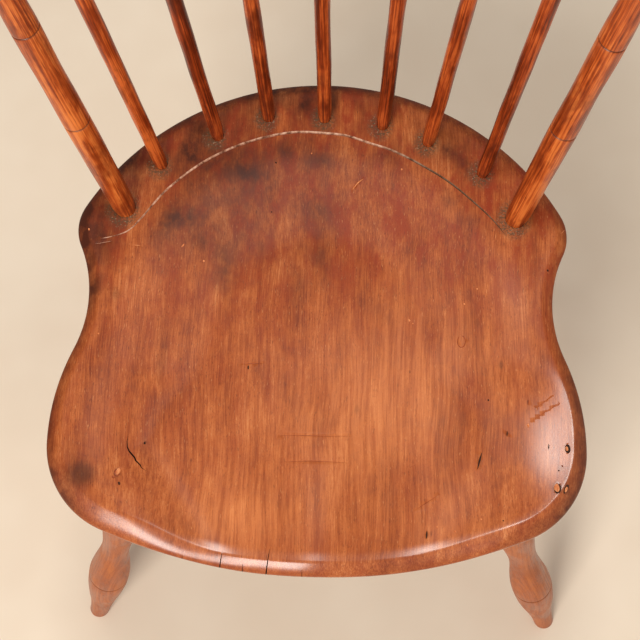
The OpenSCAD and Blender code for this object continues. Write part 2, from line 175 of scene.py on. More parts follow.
def saddle(p, inset):
    """Depth hollowed out below the deck: a bowl between the groove and the ridges of the
    rolled rim, open to the front, with a low pommel between the thighs."""
    reach = (p - back_c).length if p.y > back_c.y else abs(p.x)
    opening = smooth((open_x - abs(p.x)) / open_x_run) * smooth((-p.y - open_from) / open_run)
    side_edge = inset - roll_size(p).x + opening * saddle_run
    behind = smooth((p.y - back_c.y) / side_blend + 0.5)
    from_edge = side_edge + (groove_r - reach - side_edge) * behind
    share = max(0.0, min(1.0, from_edge / saddle_run))
    crisp = smooth((back_c.y - p.y) / crisp_run) * smooth((p.x + 0.020) / 0.100)
    bowl = smooth(share) * (1 - crisp) + (1 - (1 - share) ** 2) * crisp
    pommel = pommel_share * exp(-(p.x / pommel_w) ** 2) * smooth((pommel_y - p.y) / pommel_run)
    return saddle_depth * bowl * (1 - pommel)


def rim_roll(p, inset):
    """Drop of the rolled rim, steeper from its ridge outwards."""
    size = roll_size(p)
    left_over = max(0.0, 1 - inset / size.x)
    round_drop = 1 - sqrt(1 - left_over ** 2)
    return size.y * (round_drop + (left_over - round_drop) * roll_slope_share)


def top_point(p, inset):
    """A point of the top, with the slight waves that a scraper leaves in the saddle."""
    sunk = saddle(p, inset)
    wave = noise.noise(Vector((p.x * 22, p.y * 11, 0.7))) * smooth(sunk / saddle_depth)
    return Vector((p.x, p.y, deck_z - sunk - rim_roll(p, inset) + scraper_wave * wave))


def loft(bm, rings, number=0):
    """Skins a stack of rings with as many points each, and closes both ends."""
    loop = ops.create_circle(bm, segments=len(rings[0]), radius=1)["verts"]
    edges = [bm.edges.get(pair) for pair in zip(loop, loop[1:] + loop[:1])]
    faces = []
    for v, p in zip(loop, rings[0]):
        v.co = p
    ends = [edges]
    for ring in rings[1:]:
        made = ops.extrude_edge_only(bm, edges=edges)["geom"]
        edges = [g for g in made
                 if isinstance(g, bmesh.types.BMEdge) and not any(v in loop for v in g.verts)]
        faces += [g for g in made if isinstance(g, bmesh.types.BMFace)]
        place = {v: i for i, v in enumerate(loop)}
        fresh = [None] * len(loop)
        for v in (g for g in made if isinstance(g, bmesh.types.BMVert)):
            below = next(e.other_vert(v) for e in v.link_edges if e.other_vert(v) in place)
            fresh[place[below]] = v
        loop = fresh
        for v, p in zip(loop, ring):
            v.co = p
    ends.append(edges)
    for end in ends:
        cap = ops.contextual_create(bm, geom=end)["faces"]
        faces += ops.poke(bm, faces=cap)["faces"] if len(end) > 4 else cap
    for face in faces:
        face.material_index = number
    return faces


def seat_rings():
    """Rings of the plank, from the middle of the underside round the rim to the middle of the top."""
    rings = []
    under = rim_line(chamfer_in)
    for share in (0.06, 0.4, 0.75, 0.97, 1.0):
        rings.append([Vector((p.x * share, p.y * share, under_z)) for p in under])
    chamfer_rise = deck_z - arris_drop - under_z
    for share in (0.02, 0.3, 0.6, 0.9, 0.97, 1.0):
        bulge = chamfer_bulge * sin(pi * share)
        line = rim_line(chamfer_in + (arris_in - chamfer_in) * share - bulge)
        rings.append([Vector((p.x, p.y, under_z + chamfer_rise * share)) for p in line])
    base = deck_z - arris_drop
    for share in (0.08, 0.3, 0.6, 0.9):
        ring = []
        for out, low in zip(rim_line(0), rim_line(arris_in)):
            p = low.lerp(out, sin(share * pi / 2))
            ring.append(Vector((p.x, p.y, base + (top_point(out, 0).z - base) * share)))
        rings.append(ring)
    for inset in roll_insets:
        rings.append([top_point(p, inset / 1000) for p in rim_line(inset / 1000)])
    for step in range(1, round(1 / bowl_step)):
        share = 1 - step * bowl_step
        rings.append([top_point(p * share, rim_depth(p * share)) for p in rim_line(bowl_in)])
    return rings


def scribe(bm, line, width, depth, number, blunt=0.35):
    """A V-shaped cutter along a line on the top that runs out to nothing at both ends."""
    rings = []
    rise = 0.35
    last = len(line) - 1
    for i, p in enumerate(line):
        way = (line[min(i + 1, last)] - line[max(i - 1, 0)]).normalized()
        side = Vector((-way.y, way.x))
        full = max(0.06, sin(pi * i / last) ** blunt)
        wide = side * width / 2 * full * (1 + rise)
        z = top_point(p, rim_depth(p)).z
        rings.append([
            Vector((*(p - wide), z + depth * full * rise)),
            Vector((*(p + wide), z + depth * full * rise)),
            Vector((*p, z - depth * full)),
        ])
    return loft(bm, rings, number)


rim_points = rim_line(0)
rim_tree = KDTree(len(rim_points))
for index, point in enumerate(rim_points):
    rim_tree.insert((point.x, point.y, 0), index)
rim_tree.balance()


def rim_depth(p):
    """Distance in from the rim."""
    return rim_tree.find((p.x, p.y, 0))[2]


# Where the line starts at the left shoulder, and how far from the deck's middle it was
# scribed at angles round from the left
groove_tail = ((-0.1816, 0.0640), (-0.1770, 0.0648), (-0.1724, 0.0660), (-0.1680, 0.0673),
               (-0.1643, 0.0687), (-0.1612, 0.0702), (-0.1587, 0.0719), (-0.1562, 0.0742))
groove_marks = ((58, 181.7), (54, 180.9), (44, 182.2), (30, 183.2), (10, 183.4), (-3, 180.8), (-15, 176.6),
                (-30, 174.2), (-42, 174.4), (-59, 177.6))


def groove_line():
    """The scribed line: an uneven arc in front of the spindles that turns out to the left shoulder."""
    sweep = [Vector(p) for p in groove_tail]
    for (left, left_r), (right, right_r) in zip(groove_marks, groove_marks[1:]):
        for k in range(left - right):
            reach = left_r + (right_r - left_r) * smooth(k / (left - right))
            sweep.append(polar(back_c, reach / 1000, pi / 2 + radians(left - k)))
    return sweep


seat_bm = bmesh.new()
loft(seat_bm, seat_rings())
ops.recalc_face_normals(seat_bm, faces=seat_bm.faces)

# The seat's finishes after its own are numbered in the order in which it is given them
in_wax, in_gap, in_chip, in_raw, in_scratch = range(1, 6)
for face in seat_bm.faces:
    if all(v.co.z < under_z + 0.0001 for v in face.verts):
        face.material_index = in_raw

# The sockets: spindles and stiles point from an arc on the deck to the bent crest rail, and
# the legs point up into the underside. The spindle holes were marked out by eye.
back_h = 0.425
back_rake = radians(10)
crest_r = 0.420
crest_lean = radians(16)
spindle_step = radians(14.1)
turns_by_eye = (0.4, 1.5, 0.5, 0, 0.3, -1.8, -0.6)
backs_by_eye = (0.0073, 0.0035, 0.0058, 0.0003, 0.001, 0.0007, 0.0038)
tops_by_eye = (-0.002, -0.003, -0.001, -0.0025, 0.0025, 0.001, -0.0095)
stile_turn = radians(57)
crest_step = 0.066
stile_top_x = 0.242
spindle_tenon_r = 0.00475
stile_tenon_r = 0.0085
leg_tenon_r = 0.012
socket_play = 0.00025
spindle_socket = 0.0255
stile_hole = 0.060
leg_socket = 0.0275
crest_low = back_c.y + seat_mid.y + deck_r + back_h * tan(back_rake)


def deck_point(turn, behind=0.0):
    """A point near the arc that the spindles stand on."""
    return seat_mid + Vector((*polar(back_c, deck_r + behind, pi / 2 - turn), deck_z))


def crest_point(x, up):
    """A point in the middle of the bent rail, at a height up its leaning face."""
    back = sqrt(crest_r ** 2 - x ** 2) - crest_r
    lean, rise = sin(crest_lean), cos(crest_lean)
    return Vector((x, crest_low + back * rise + up * lean, deck_z + back_h - back * lean + up * rise))


spindle_ends = [(deck_point((i - 3) * spindle_step + radians(turns_by_eye[i]), backs_by_eye[i]),
                 crest_point((i - 3) * crest_step + tops_by_eye[i], 0.012)) for i in range(7)]
stile_slip = {-1: Vector((0.0003, 0.0055, 0)), 1: Vector((-0.0039, 0.003, 0))}
stile_ends = {side: (deck_point(side * stile_turn) + stile_slip[side],
                     crest_point(side * stile_top_x, 0.015)) for side in (-1, 1)}
mounts = {m["name"]: Vector(m["pos_m"]) for m in frame["record"]["mounts"]}
leg_ends = {}
for side, side_name in ((-1, "left"), (1, "right")):
    front_top = Vector((side * (seat_w / 2 - 0.0665), 0.083 - seat_d / 2, under_z)) + seat_mid
    rear_top = Vector((side * (waist_w / 2 - 0.063), seat_d / 2 - 0.103, under_z)) + seat_mid
    leg_ends["front_" + side_name] = (mounts["foot_front_" + side_name], front_top)
    leg_ends["rear_" + side_name] = (mounts["foot_rear_" + side_name], rear_top)


def seen(red, green, blue):
    """A colour as it shows on a screen, 0 to 255, in the renderer's own units."""
    return tuple(c / 12.92 if c <= 0.04045 else ((c + 0.055) / 1.055) ** 2.4
                 for c in (red / 255, green / 255, blue / 255)) + (1.0,)


def put(kind, wires, tree=None, **settings):
    """Adds a shader node with its settings to the tree of the nodes that it takes its values from,
    and joins or fills its sockets."""
    feeds = {name: value for name, value in wires.items() if isinstance(value, bpy.types.NodeSocket)}
    tree = tree or next(iter(feeds.values())).id_data
    node = tree.nodes.new("ShaderNode" + kind)
    for name, value in settings.items():
        setattr(node, name, value)
    for name, value in wires.items():
        if name in feeds:
            tree.links.new(value, node.inputs[name])
        else:
            node.inputs[name].default_value = value
    return node


def spread(value, low, high, to_low=0.0, to_high=1.0):
    """Eases a value from one range to another."""
    return put("MapRange", {"Value": value, "From Min": low, "From Max": high, "To Min": to_low,
                            "To Max": to_high}, interpolation_type="SMOOTHSTEP").outputs["Result"]


def figure(place, across, along, detail=3.0, low=0.32, high=0.68, deep=0.0):
    """Streaks drawn out along the wood, from 0 to 1. The grain runs along Y."""
    cells = put("Mapping", {"Vector": place, "Scale": (1 / across, 1 / along, 1 / (deep or across))})
    streak = put("TexNoise", {"Vector": cells.outputs["Vector"], "Scale": 1.0, "Detail": detail,
                              "Roughness": 0.62})
    return spread(streak.outputs["Fac"], low, high)


def reckon(how, first, second):
    return put("Math", {0: first, 1: second}, operation=how).outputs[0]


def times(first, second):
    return reckon("MULTIPLY", first, second)


def plus(first, second):
    return reckon("ADD", first, second)


def blend(amount, under, over):
    """One colour laid over another by an amount."""
    return put("Mix", {0: amount, 6: under, 7: seen(*over)}, data_type="RGBA").outputs[2]


def stops(value, *tones):
    """Runs through tones spaced evenly from 0 to 1."""
    ramp = put("ValToRGB", {"Fac": value})
    bar = ramp.color_ramp.elements
    tones = [seen(*tone) for tone in tones]
    bar[0].color, bar[1].color = tones[0], tones[-1]
    for i, tone in enumerate(tones[1:-1], 1):
        bar.new(i / (len(tones) - 1)).color = tone
    return ramp.outputs["Color"]


def near(place, centre, inner, outer, stretch=(1, 1, 1)):
    """1 close to a point, easing to 0 at the outer distance."""
    moved = put("VectorMath", {0: place, 1: tuple(centre)}, operation="SUBTRACT").outputs[0]
    sized = put("VectorMath", {0: moved, 1: stretch}, operation="MULTIPLY").outputs[0]
    gap = put("VectorMath", {0: sized}, operation="LENGTH").outputs["Value"]
    return spread(gap, inner, outer, 1.0, 0.0)


def measured(finish, name):
    """A measure that a piece's mesh carries."""
    return put("Attribute", {}, finish.node_tree, attribute_name=name).outputs["Fac"]


def bumped(height, strength, distance, **under):
    """Fine relief, which may lie over a coarser one."""
    wires = {"Height": height, "Strength": strength, "Distance": distance, **under}
    return put("Bump", wires).outputs["Normal"]


def paint(finish, **results):
    """Joins results to the shader's sockets, or fills them."""
    tree = finish.node_tree
    for name, value in results.items():
        socket = tree.nodes["Principled BSDF"].inputs[name.replace("_", " ")]
        if isinstance(value, bpy.types.NodeSocket):
            tree.links.new(value, socket)
        else:
            socket.default_value = value


def varnished(name, roughness, coat):
    """A material with an old shellac finish over it, and the place that its pattern goes by."""
    finish = bpy.data.materials.new(name)
    finish.use_nodes = True
    paint(finish, Roughness=roughness, Coat_Weight=coat, Coat_Roughness=0.24, Specular_IOR_Level=0.3)
    return finish, put("TexCoord", {}, finish.node_tree).outputs["Object"]


# Small soft stains in the finish, in millimetres from the seat's middle: across, back, half
# width, half length and how dark
spots = (
    (147, -35, 2.6, 5.0, 0.45), (89, -172, 1.8, 4.2, 0.45), (92, -171, 1.4, 3.0, 0.3),
    (-184, -132, 16, 14, 0.62), (190, -134, 5.6, 6.8, 0.60), (197, -135, 4.2, 5.4, 0.50),
    (198, -102, 4.0, 5.0, 0.40), (-156, -130, 4.4, 5.4, 0.45), (-136, -104, 2.0, 2.4, 0.45),
    (-137, -108, 4, 12, 0.15), (168, -65, 1.2, 2.8, 0.45), (152, -90, 1.2, 3.4, 0.45),
    (184, -101, 1.2, 3.4, 0.45), (130, -113, 3.0, 8.0, 0.25), (-182, 22, 5, 8, 0.25),
    (-166, 16, 6, 6, 0.20), (193, -118, 4.0, 4.0, 0.30), (128, 0, 2.6, 6.0, 0.25),
    (32, -73, 3.0, 6.0, 0.25), (-111, -35, 1.2, 2.0, 0.45), (74, -41, 1.2, 1.8, 0.45),
)


def seat_finish():
    """Close grain under worn red-brown shellac, darkened where hands, damp and polish reached it, with
    painted shade and painted light laid over the top.
    """
    finish, place = varnished("seat_wood", 0.42, 0.35)
    paint(finish, Specular_IOR_Level=0.16, Coat_Roughness=0.22)
    wander = put("TexNoise", {"Vector": place, "Scale": 9.0, "Detail": 1.0}).outputs["Color"]
    sway = put("VectorMath", {0: wander, 1: (0.014, 0.0, 0.0)}, operation="MULTIPLY").outputs[0]
    grained = put("VectorMath", {0: place, 1: sway}, operation="ADD").outputs[0]
    fine = figure(grained, 0.0009, 0.022, 4.0, 0.36, 0.64)
    streak = figure(grained, 0.0035, 0.075, 3.0, 0.34, 0.66)
    bands = figure(grained, 0.018, 0.18, 2.0, 0.34, 0.66)
    mottle = figure(place, 0.010, 0.014, 6.0, 0.30, 0.70)
    cloud = figure(place, 0.060, 0.085, 3.0)
    tone = times(fine, 0.26)
    for layer, share in ((streak, 0.15), (bands, 0.20), (mottle, 0.18), (cloud, 0.21)):
        tone = plus(tone, times(layer, share))
    colour = stops(tone, (106, 38, 12), (150, 70, 29), (184, 98, 48), (218, 138, 84))

    # Redder patches where the old stain has stayed, and speckles of it in the pores
    red = figure(place, 0.014, 0.034, 5.0, 0.40, 0.66)
    behind = put("SeparateXYZ", {"Vector": place}).outputs["Y"]
    red = times(red, spread(behind, seat_mid.y - 0.05, seat_mid.y + 0.12, 0.30, 1.0))
    colour = blend(red, colour, (146, 54, 22))
    for fleck, amount, tone in (
            (figure(place, 0.0011, 0.0016, 2.0, 0.56, 0.72), 0.42, (118, 44, 18)),
            (figure(grained, 0.0008, 0.006, 2.0, 0.62, 0.76), 0.38, (238, 166, 108)),
            (figure(grained, 0.0008, 0.005, 1.0, 0.62, 0.76), 0.55, (84, 32, 14))):
        colour = blend(times(fleck, amount), colour, tone)

    # Darkened and paler places, from the seat's own measure of them: real stains and rubbed wear together
    #     with painted shade and painted light. Then the small stains
    stain_and_painted_light = measured(finish, "stain_and_painted_light")
    uneven = spread(mottle, 0, 1, 1.15, 0.75)
    dark = times(spread(stain_and_painted_light, 0.0, 1.0), uneven)
    colour = blend(dark, colour, (72, 28, 10))
    paler_rubbed_and_lit = times(spread(stain_and_painted_light, 0.0, -1.0), spread(streak, 0, 1, 0.55, 1.25))
    colour = blend(paler_rubbed_and_lit, colour, (226, 138, 82))
    for x, y, wide, long, amount in spots:
        centre = seat_mid + Vector((x / 1000, y / 1000, 0))
        spot = near(place, centre, 0.25, 1.0, (1000 / wide, 1000 / long, 0))
        colour = blend(times(spot, amount), colour, (70, 34, 18))

    # Grey-green grime and pale crumbs of wax round the feet of the spindles and stiles
    crumbs = figure(place, 0.0020, 0.0020, 3.0, 0.42, 0.60)
    wax = figure(place, 0.0015, 0.0015, 2.0, 0.60, 0.70)
    ring = None
    feet = [(ends[0], spindle_tenon_r) for ends in spindle_ends]
    feet += [(ends[0], stile_tenon_r) for ends in stile_ends.values()]
    for foot, reach in feet:
        settled = foot + Vector((-0.0018, -0.0018, 0))
        here = near(place, settled, reach + 0.0014, reach + 0.0090, (1, 0.85, 0))
        ring = reckon("MAXIMUM", ring, here) if ring else here
    soil = times(ring, spread(crumbs, 0, 1, 0.30, 0.85))
    colour = blend(soil, colour, (84, 64, 44))
    colour = blend(times(ring, times(wax, 0.6)), colour, (170, 142, 116))

    bump = bumped(mottle, 0.05, 0.003, Normal=bumped(fine, 0.07, 0.0006))

    # Dull where sitters have worn the middle, rubbed to a shine along the ridge of the rim
    polish = measured(finish, "polish")
    dull = reckon("SUBTRACT", spread(mottle, 0, 1, 0.50, 0.60), times(polish, 0.20))
    shine = spread(polish, 0, 1, 0.04, 0.85)
    paint(finish, Base_Color=colour, Normal=bump, Roughness=dull, Coat_Weight=shine)
    return finish


def groove_wax():
    """Old wax and dust that has gathered in the scribed line, darker towards the right."""
    finish, place = varnished("groove_wax", 0.7, 0.0)
    patch = figure(place, 0.005, 0.005, 4.0)
    colour = stops(patch, (112, 64, 42), (184, 136, 110), (220, 182, 158))
    across = put("SeparateXYZ", {"Vector": place}).outputs["X"]
    colour = blend(spread(across, 0.03, 0.10, 0.0, 0.85), colour, (86, 58, 36))
    paint(finish, Base_Color=colour)
    return finish


def mottled(name, roughness, coat, across, along, *tones):
    """A finish whose tone varies over short distances."""
    finish, place = varnished(name, roughness, coat)
    paint(finish, Base_Color=stops(figure(place, across, along), *tones))
    return finish


def old_scratch():
    """Stain that has settled in old scratches."""
    return mottled("old_scratch", 0.6, 0.1, 0.004, 0.004, (128, 52, 22), (168, 82, 42))


def dark_gap():
    """Shadowed wood inside sockets, cracks and dents."""
    return mottled("dark_gap", 0.8, 0.0, 0.004, 0.02, (34, 18, 10), (70, 36, 20))


def bare_wood():
    """Wood laid bare by a fresh chip."""
    return mottled("bare_wood", 0.6, 0.0, 0.001, 0.004, (196, 106, 58), (232, 158, 104))


def raw_underside():
    """The underside, left as it was planed, darkened by age and dry."""
    finish, place = varnished("raw_underside", 0.8, 0.0)
    tone = plus(times(figure(place, 0.0016, 0.05), 0.5), times(figure(place, 0.03, 0.06), 0.5))
    colour = stops(tone, (92, 58, 38), (136, 92, 62), (166, 120, 84))
    plane_marks = figure(place, 0.10, 0.012, 1.0)
    paint(finish, Base_Color=colour, Normal=bumped(plane_marks, 0.35, 0.0012))
    return finish


def along_axis(foot, top):
    """Puts a shape's upright axis on the line from one point to another."""
    return Matrix.Translation(foot) @ (top - foot).to_track_quat("Z", "Y").to_matrix().to_4x4()


def numbered(verts, number):
    """Gives the faces round some points a finish by its number."""
    for face in {f for v in verts for f in v.link_faces}:
        face.material_index = number


def socket_cutter(bm, foot, way, reach, deep, number):
    """A round hole bored from a point along a way."""
    numbered(ops.create_cone(bm, cap_ends=True, segments=40, radius1=reach, radius2=reach,
                             depth=2 * deep, matrix=along_axis(foot, foot + way))["verts"], number)


# Edges that turn by more than this are left sharp
sharp_turn = radians(35)


def placed(name, bm, materials):
    """An object in the scene, from a built mesh and its finishes."""
    mesh = bpy.data.meshes.new(name)
    bm.to_mesh(mesh)
    bm.free()
    for finish in materials:
        mesh.materials.append(finish)
    piece = bpy.data.objects.new(name, mesh)
    bpy.context.scene.collection.objects.link(piece)
    return piece


def finished(name, bm, materials, slot, *nodes):
    """Turns a built mesh into a piece that rides with the chair and stands for its nodes."""
    piece = placed(name, bm, materials)
    piece.data.shade_smooth()
    piece.data.set_sharp_from_angle(angle=sharp_turn)
    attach(piece, "root")
    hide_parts(*nodes)
    return piece


def cut_away(piece, cutter_bm):
    """Cuts closed shapes out of a piece. The cut faces keep the cutters' material numbers."""
    cutter = placed("cutter", cutter_bm, piece.data.materials)
    cuts = piece.modifiers.new("cuts", "BOOLEAN")
    cuts.operation = "DIFFERENCE"
    cuts.solver = "EXACT"
    cuts.object = cutter
    ready = piece.evaluated_get(bpy.context.evaluated_depsgraph_get())
    shaped = bpy.data.meshes.new_from_object(ready)
    piece.modifiers.clear()
    piece.data = shaped
    bpy.data.objects.remove(cutter)
    shaped.set_sharp_from_angle(angle=sharp_turn)


# A ball that is sunk by half its height cuts a hole this many times as wide as its radius
sunk_width = 1.74


def dish(bm, p, length, width, depth, number, turn=0.0):
    """A shallow dent or chip at a point on the top."""
    z = top_point(p, rim_depth(p)).z
    shape = (Matrix.Translation((p.x, p.y, z + depth)) @ Matrix.Rotation(turn, 4, "Z")
             @ Matrix.Diagonal((width / sunk_width, length / sunk_width, 2 * depth, 1)))
    numbered(ops.create_icosphere(bm, subdivisions=3, radius=1, matrix=shape)["verts"], number)


for vert in seat_bm.verts:
    vert.co += seat_mid
seat_finishes = [seat_finish(), groove_wax(), dark_gap(), bare_wood(), raw_underside(), old_scratch()]
seat = finished("saddled_seat", seat_bm, seat_finishes, "seat_wood", "seat")
cuts_bm = bmesh.new()
scribe(cuts_bm, groove_line(), groove_w, groove_depth, in_wax)

# Wear on the top, in millimetres from the seat's middle: a crack and its chips at the front
# left, checks in the front edge where the end grain has opened, and the scratches (line, width,
# finish) and the dents and chips (place, length, width, finish, turn) of long use.
crack_w = 0.0013
crack_depth = 0.0020
rub_w = 0.0003
rub_depth = 0.00008
bruise_depth = 0.0004
dent_depth = 0.0006
crack = ((-149.7, -98), (-150.3, -104), (-149.8, -108.5), (-147.9, -112), (-143.6, -116.6),
         (-142.4, -119.2), (-138.6, -122.8), (-137.4, -125), (-133.6, -127.2))
scratches = (
    (((-30.5, -96), (-12.8, -95.6), (10, -95.8), (28, -95)), 0.4, in_scratch),
    (((-24.8, -117.2), (-4.2, -116.4), (25, -116.9)), 0.45, in_scratch),
    (((-62.4, -37.5), (-44.2, -36.7)), 0.55, in_scratch),
    (((24.4, 112.5), (28.7, 118.2), (33.4, 122)), 0.9, in_chip),
    (((136.2, 32.7), (134.9, 21.7)), 0.5, in_chip), (((-154.7, 59), (-148.1, 58.4)), 0.5, in_chip),
    (((78.5, -153.5), (88, -147), (98.8, -139.5)), 0.4, in_scratch),
    (((131.9, -105.5), (130, -112), (128.2, -119.5)), 1.5, in_gap),
    (((151.8, -88), (151.5, -92.6)), 0.9, in_gap), (((184, -98.5), (183.8, -103.2)), 0.9, in_gap),
    (((168.6, -63), (168.2, -67.4)), 0.8, in_scratch), (((88.8, -168.8), (88.3, -175.4)), 1.3, in_gap),
    (((196, 76), (200, 81)), 0.8, in_chip), (((-172, 62), (-186, 59)), 0.35, in_wax),
)
rubs = (((170, -80.5), (192.6, -65.9)), ((174, -70.3), (188, -59.2)))
dents = (
    ((-153.8, -138.3), 3.0, 1.8, in_gap, 0.3), ((-136.5, -104.5), 2.0, 1.6, in_gap, 0.0),
    ((-56.4, -40.4), 3.6, 1.3, in_gap, 0.0), ((137, -63.2), 1.5, 1.4, in_gap, 0.0),
    ((147.7, -160.4), 1.3, 1.2, in_gap, 0.0), ((185.1, 44.3), 2.0, 1.6, in_gap, 0.4),
    ((-42.1, 92.3), 1.2, 1.2, in_gap, 0.0), ((-39.7, 134.2), 1.6, 1.4, in_gap, 0.5),
    ((194.1, -116.4), 1.8, 1.2, in_scratch, 0.5), ((191.4, -120), 1.4, 1.2, in_gap, 0.9),
    ((198, -102.5), 5.0, 3.0, in_chip, 0.2), ((-158.6, -133.4), 2.6, 2.0, in_scratch, 0.5),
    ((-155.2, -128.4), 7.0, 3.8, in_chip, -0.45), ((189.4, -133.6), 8.0, 5.0, in_chip, 0.3),
    ((197, -135.2), 7.2, 3.2, in_chip, -0.35), ((-114, 60.4), 3.6, 1.3, in_chip, -0.6),
    ((-96.5, 48.3), 2.0, 1.8, in_chip, 0.0), ((-178.2, -17.3), 1.8, 1.5, in_chip, 0.2),
    ((73.1, 2), 2.2, 1.6, in_chip, 0.4), ((76, -0.6), 1.3, 1.1, in_chip, 0.0),
    ((127.8, 28.5), 1.6, 1.3, in_chip, 0.0), ((117.6, 15.9), 1.8, 1.4, in_chip, 0.5),
    ((168.3, -83.8), 3.2, 1.9, in_chip, 0.2), ((130.7, -159.4), 1.7, 1.5, in_chip, 0.3),
    ((110.7, -169), 2.4, 1.1, in_chip, 0.7), ((96.6, -165.8), 1.6, 1.2, in_chip, 0.0),
    ((120.1, -179.9), 2.0, 1.4, in_chip, 0.4), ((65.1, 130.2), 1.8, 1.6, in_chip, 0.0),
    ((-10.2, 142.9), 1.4, 1.2, in_chip, 0.0), ((-191.9, 71.7), 2.2, 1.4, in_chip, 0.2),
)
bruises = (
    ((189.6, -133.8), 8.8, 6.0, in_gap, 0.3), ((197.2, -135.4), 8.0, 4.0, in_gap, -0.35),
    ((-155.5, -128.8), 8.4, 5.0, in_scratch, -0.45), ((198, -102.5), 7.0, 4.8, in_gap, 0.2),
)
# Where each check opens across the front edge, how far it runs in, its width and its slant
edge_checks = ((-72.6, 12.0, 0.9, 0.16), (-54.8, 6.0, 0.5, 0.05), (-36.1, 24.0, 1.0, 0.13),
               (-8.0, 7.0, 0.5, 0.0), (-102.0, 4.0, 0.45, 0.0))
check_down = 0.012
check_half_h = 0.011


def drawn(points, steps=6):
    """A line through points in millimetres, with short steps between them."""
    line = [Vector(p) / 1000 for p in points]
    return [a.lerp(b, k / steps) for a, b in zip(line, line[1:]) for k in range(steps)] + [line[-1]]


scratch_bm, dent_bm = bmesh.new(), bmesh.new()
scribe(scratch_bm, drawn(crack, 3), crack_w, crack_depth, in_gap, 0.9)
for points, width, number in scratches:
    scribe(scratch_bm, drawn(points), width / 1000, min(0.0004, width / 3600), number, 0.7)
for points in rubs:
    scribe(scratch_bm, drawn(points), rub_w, rub_depth, in_scratch, 0.7)
ring_mark = [Vector((0.1153 + 0.0032 * sin(k / 16 * tau),
                     -0.0154 + 0.0048 * cos(k / 16 * tau))) for k in range(16)]
scribe(scratch_bm, ring_mark, 0.0007, 0.0003, in_scratch, 0.1)
for place, length, width, number, turn in bruises:
    dish(scratch_bm, Vector(place) / 1000, length / 1000, width / 1000, bruise_depth, number, turn)
for place, length, width, number, turn in dents:
    dish(dent_bm, Vector(place) / 1000, length / 1000, width / 1000, dent_depth, number, turn)
for x, run, width, slant in edge_checks:
    front_y = front_c.y - sqrt(front_r ** 2 - (x / 1000) ** 2)
    split = (Matrix.Translation((x / 1000, front_y, deck_z - check_down)) @ Matrix.Rotation(-slant, 4, "Z")
             @ Matrix.Diagonal((width / 2000, run / 1000, check_half_h, 1)))
    numbered(ops.create_icosphere(dent_bm, subdivisions=4, radius=1, matrix=split)["verts"], in_gap)
for bm in (cuts_bm, scratch_bm, dent_bm):
    ops.translate(bm, verts=bm.verts, vec=seat_mid)

for foot, top in spindle_ends:
    socket_cutter(cuts_bm, foot, top - foot, spindle_tenon_r + socket_play, spindle_socket, in_gap)
for foot, top in stile_ends.values():
    socket_cutter(cuts_bm, foot, top - foot, stile_tenon_r + socket_play, stile_hole, in_gap)
for foot, top in leg_ends.values():
    socket_cutter(cuts_bm, top, top - foot, leg_tenon_r + socket_play, leg_socket, in_gap)
for bm in (cuts_bm, scratch_bm, dent_bm):
    ops.recalc_face_normals(bm, faces=bm.faces)
    cut_away(seat, bm)

# Dark and pale places on the top, in millimetres from the seat's middle: real stains and rubbed places,
# and also painted shade over the deck, the rear and the side rims and painted light over the front.
# Columns: across, back, half width, half length, and how dark, or below zero how much paler
stains_and_painted_light = (
    (-20, 196, 95, 24, 0.50), (-120, 120, 70, 50, 0.20), (-185, 90, 30, 30, 0.22),
    (-72, -150, 66, 36, -0.26), (125, -20, 60, 80, -0.14), (-100, 150, 50, 30, 0.16),
    (110, 158, 50, 34, 0.34), (-190, 72, 26, 34, 0.44), (0, 140, 75, 36, 0.34), (-80, 95, 45, 50, 0.22),
    (-130, 60, 16, 18, 0.30), (0, 70, 60, 40, 0.14), (110, 70, 60, 40, 0.12), (-124, -36, 6, 30, 0.42),
    (-126, -91, 7, 20, 0.32), (-72, -68, 6, 16, 0.24), (-18, 15, 9, 34, 0.28), (-80, 42, 10, 26, 0.34),
    (-166, 16, 8, 8, 0.30), (-182, 22, 6, 12, 0.40), (0, 52, 8, 28, 0.32), (121, -56, 7, 16, 0.40),
    (123, -77, 5, 14, 0.20), (92, -8, 6, 14, 0.30), (74, -133, 8, 20, 0.20), (-113, 86, 17, 13, 0.34),
    (-127, 81, 12, 12, 0.25), (-103, 67, 8, 7, 0.25), (-181, 56, 10, 12, 0.35), (-31, 146, 8, 8, 0.32),
    (-63, 122, 9, 9, 0.28), (-2, 137, 12, 10, 0.28), (57, 139, 8, 8, 0.30), (103, 106, 9, 9, 0.30),
    (1, 93, 14, 12, 0.25), (124, 86, 8, 10, 0.20), (-106, 163, 9, 9, 0.38), (-111, 142, 8, 8, 0.32),
    (-160, 129, 12, 12, 0.38), (-15, 184, 6, 14, 0.35), (7, 186, 4, 9, 0.45), (106, 145, 12, 12, 0.36),
    (121, 135, 6, 8, 0.36), (205, 60, 14, 34, 0.14), (205, -100, 16, 90, 0.20), (-38, 176, 5, 14, -0.60),
    (-126, 151, 6, 12, -0.45), (-83, 164, 6, 12, -0.50), (15, 184, 8, 14, -0.55), (61, 172, 6, 10, -0.45),
    (90, -60, 90, 70, -0.22), (20, -90, 70, 70, -0.30), (60, 20, 40, 50, -0.16), (-150, -80, 30, 60, -0.14),
    (110, -160, 70, 30, -0.25), (-90, 140, 40, 26, 0.22), (-60, 60, 60, 60, 0.14),
    (-190, -60, 26, 70, 0.12), (-186, -130, 24, 22, 0.42), (-60, -175, 80, 26, -0.22),
    (170, -100, 20, 60, -0.14),
)


# How finely and, in millimetres, how far their outlines wander
blotch_ripple = 38
blotch_wander = 6


